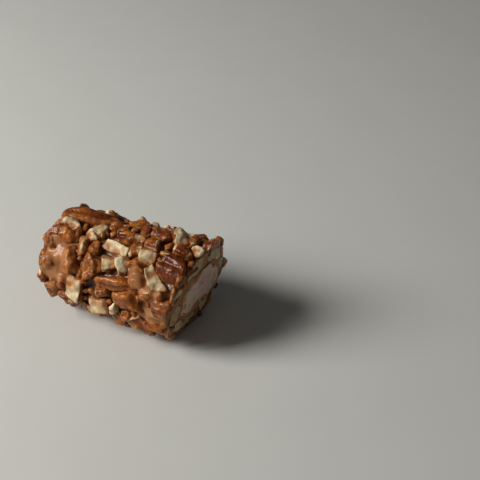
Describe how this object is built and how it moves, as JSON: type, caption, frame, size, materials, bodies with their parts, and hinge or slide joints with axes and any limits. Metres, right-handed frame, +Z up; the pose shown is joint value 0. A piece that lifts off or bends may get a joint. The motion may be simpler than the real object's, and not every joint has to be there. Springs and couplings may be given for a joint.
{
  "type": "pecan log",
  "caption": "Short candy log lying on its side: a nougat core in a caramel coat set with broken pecans, one end rounded and closed, the other cut across to show the layers.",
  "frame": {"origin": "on the table, under the middle of the log's box", "axes": "+X along the log, towards the cut end; +Z up; -Y towards the side that the picture shows"},
  "size_m": [0.0752, 0.0461, 0.045],
  "materials": {
    "caramel": "soft glossy milky caramel",
    "nougat": "matte aerated pinkish-white nougat with a dragged knife cut",
    "glazed_pecan": "brown pecan skin under a thin caramel glaze",
    "bare_pecan": "cream-coloured broken pecan flesh, matte"
  },
  "bodies": {
    "root": {"caramel": "caramel", "nougat": "nougat", "pecan_back_1_1": "glazed_pecan", "pecan_back_1_2": "glazed_pecan", "pecan_back_1_3": "glazed_pecan", "pecan_back_2_1": "glazed_pecan", "pecan_back_2_2": "glazed_pecan", "pecan_back_2_3": "glazed_pecan", "pecan_back_3_1": "glazed_pecan", "pecan_back_3_2": "glazed_pecan", "pecan_back_3_3": "glazed_pecan", "pecan_back_4_1": "glazed_pecan", "pecan_back_4_2": "glazed_pecan", "pecan_back_4_3": "glazed_pecan", "pecan_back_5_1": "glazed_pecan", "pecan_back_5_2": "glazed_pecan", "pecan_back_5_3": "glazed_pecan", "pecan_back_6_1": "glazed_pecan", "pecan_back_6_2": "glazed_pecan", "pecan_back_6_3": "glazed_pecan", "pecan_back_dark": "glazed_pecan", "pecan_back_pale": "bare_pecan", "pecan_back_round": "glazed_pecan", "pecan_bright": "bare_pecan", "pecan_cut_back": "glazed_pecan", "pecan_cut_front": "glazed_pecan", "pecan_cut_front_low": "glazed_pecan", "pecan_cut_front_top": "glazed_pecan", "pecan_cut_top": "glazed_pecan", "pecan_cut_under": "glazed_pecan", "pecan_cut_under_back": "glazed_pecan", "pecan_cut_under_front": "glazed_pecan", "pecan_dark_chunk": "glazed_pecan", "pecan_dark_stick": "glazed_pecan", "pecan_end_1": "glazed_pecan", "pecan_end_2": "glazed_pecan", "pecan_end_3": "glazed_pecan", "pecan_end_edge": "glazed_pecan", "pecan_end_low": "glazed_pecan", "pecan_end_lump": "glazed_pecan", "pecan_foot": "glazed_pecan", "pecan_gold": "glazed_pecan", "pecan_grey_chunk": "glazed_pecan", "pecan_long_half": "glazed_pecan", "pecan_low_end": "glazed_pecan", "pecan_low_pale": "bare_pecan", "pecan_low_tip": "glazed_pecan", "pecan_lower_half": "glazed_pecan", "pecan_middle_lump": "glazed_pecan", "pecan_pale_left": "bare_pecan", "pecan_pale_right": "bare_pecan", "pecan_pale_stick": "bare_pecan", "pecan_pink_lump": "glazed_pecan", "pecan_red_chunk": "glazed_pecan", "pecan_red_top": "glazed_pecan", "pecan_ridge_half": "glazed_pecan", "pecan_shoulder": "glazed_pecan", "pecan_small_stick": "glazed_pecan", "pecan_tan": "glazed_pecan", "pecan_top_knob": "glazed_pecan"}
  },
  "joints": []
}
